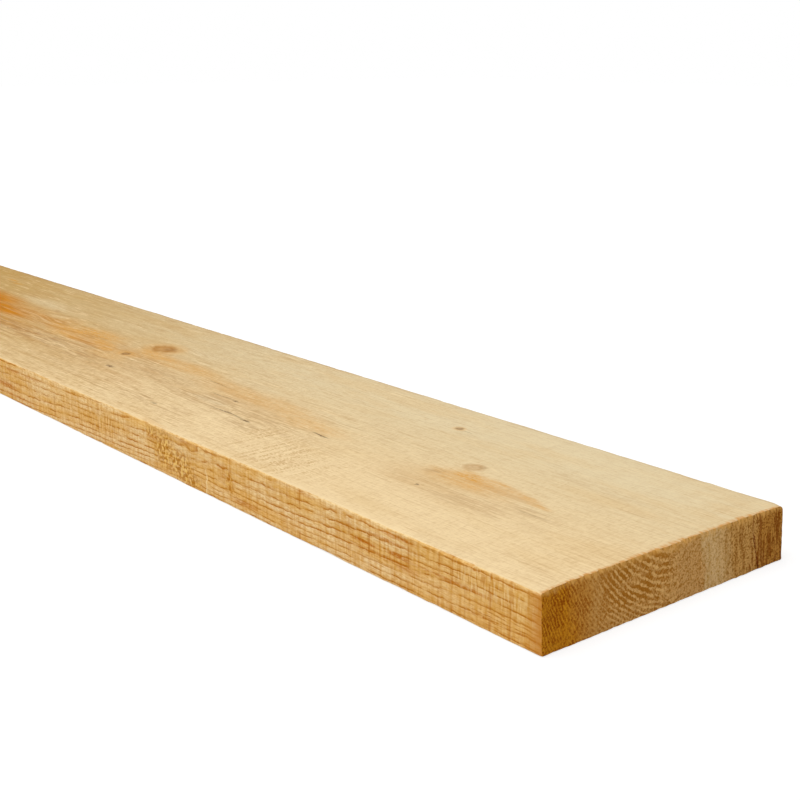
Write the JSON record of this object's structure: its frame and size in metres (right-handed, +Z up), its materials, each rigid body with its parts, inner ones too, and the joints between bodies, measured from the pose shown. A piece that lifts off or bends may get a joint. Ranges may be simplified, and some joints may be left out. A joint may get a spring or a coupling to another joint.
{
  "type": "sawn timber plank",
  "caption": "Rough-sawn softwood plank of rectangular section with square-cut ends, lightly worn arrises, saw marks and knots, for boarding, decking, shelving or formwork.",
  "frame": {"origin": "middle of the lower face, at the level of the floor that the plank lies on", "axes": "+X along the grain to the end with the drying check, +Y across the face to the edge nearer that check, +Z up through the thickness"},
  "size_m": [1.8, 0.15, 0.025],
  "materials": {
    "sawn_softwood": "rough-sawn, dry, matt"
  },
  "bodies": {
    "root": {"plank": "sawn_softwood"}
  },
  "joints": []
}
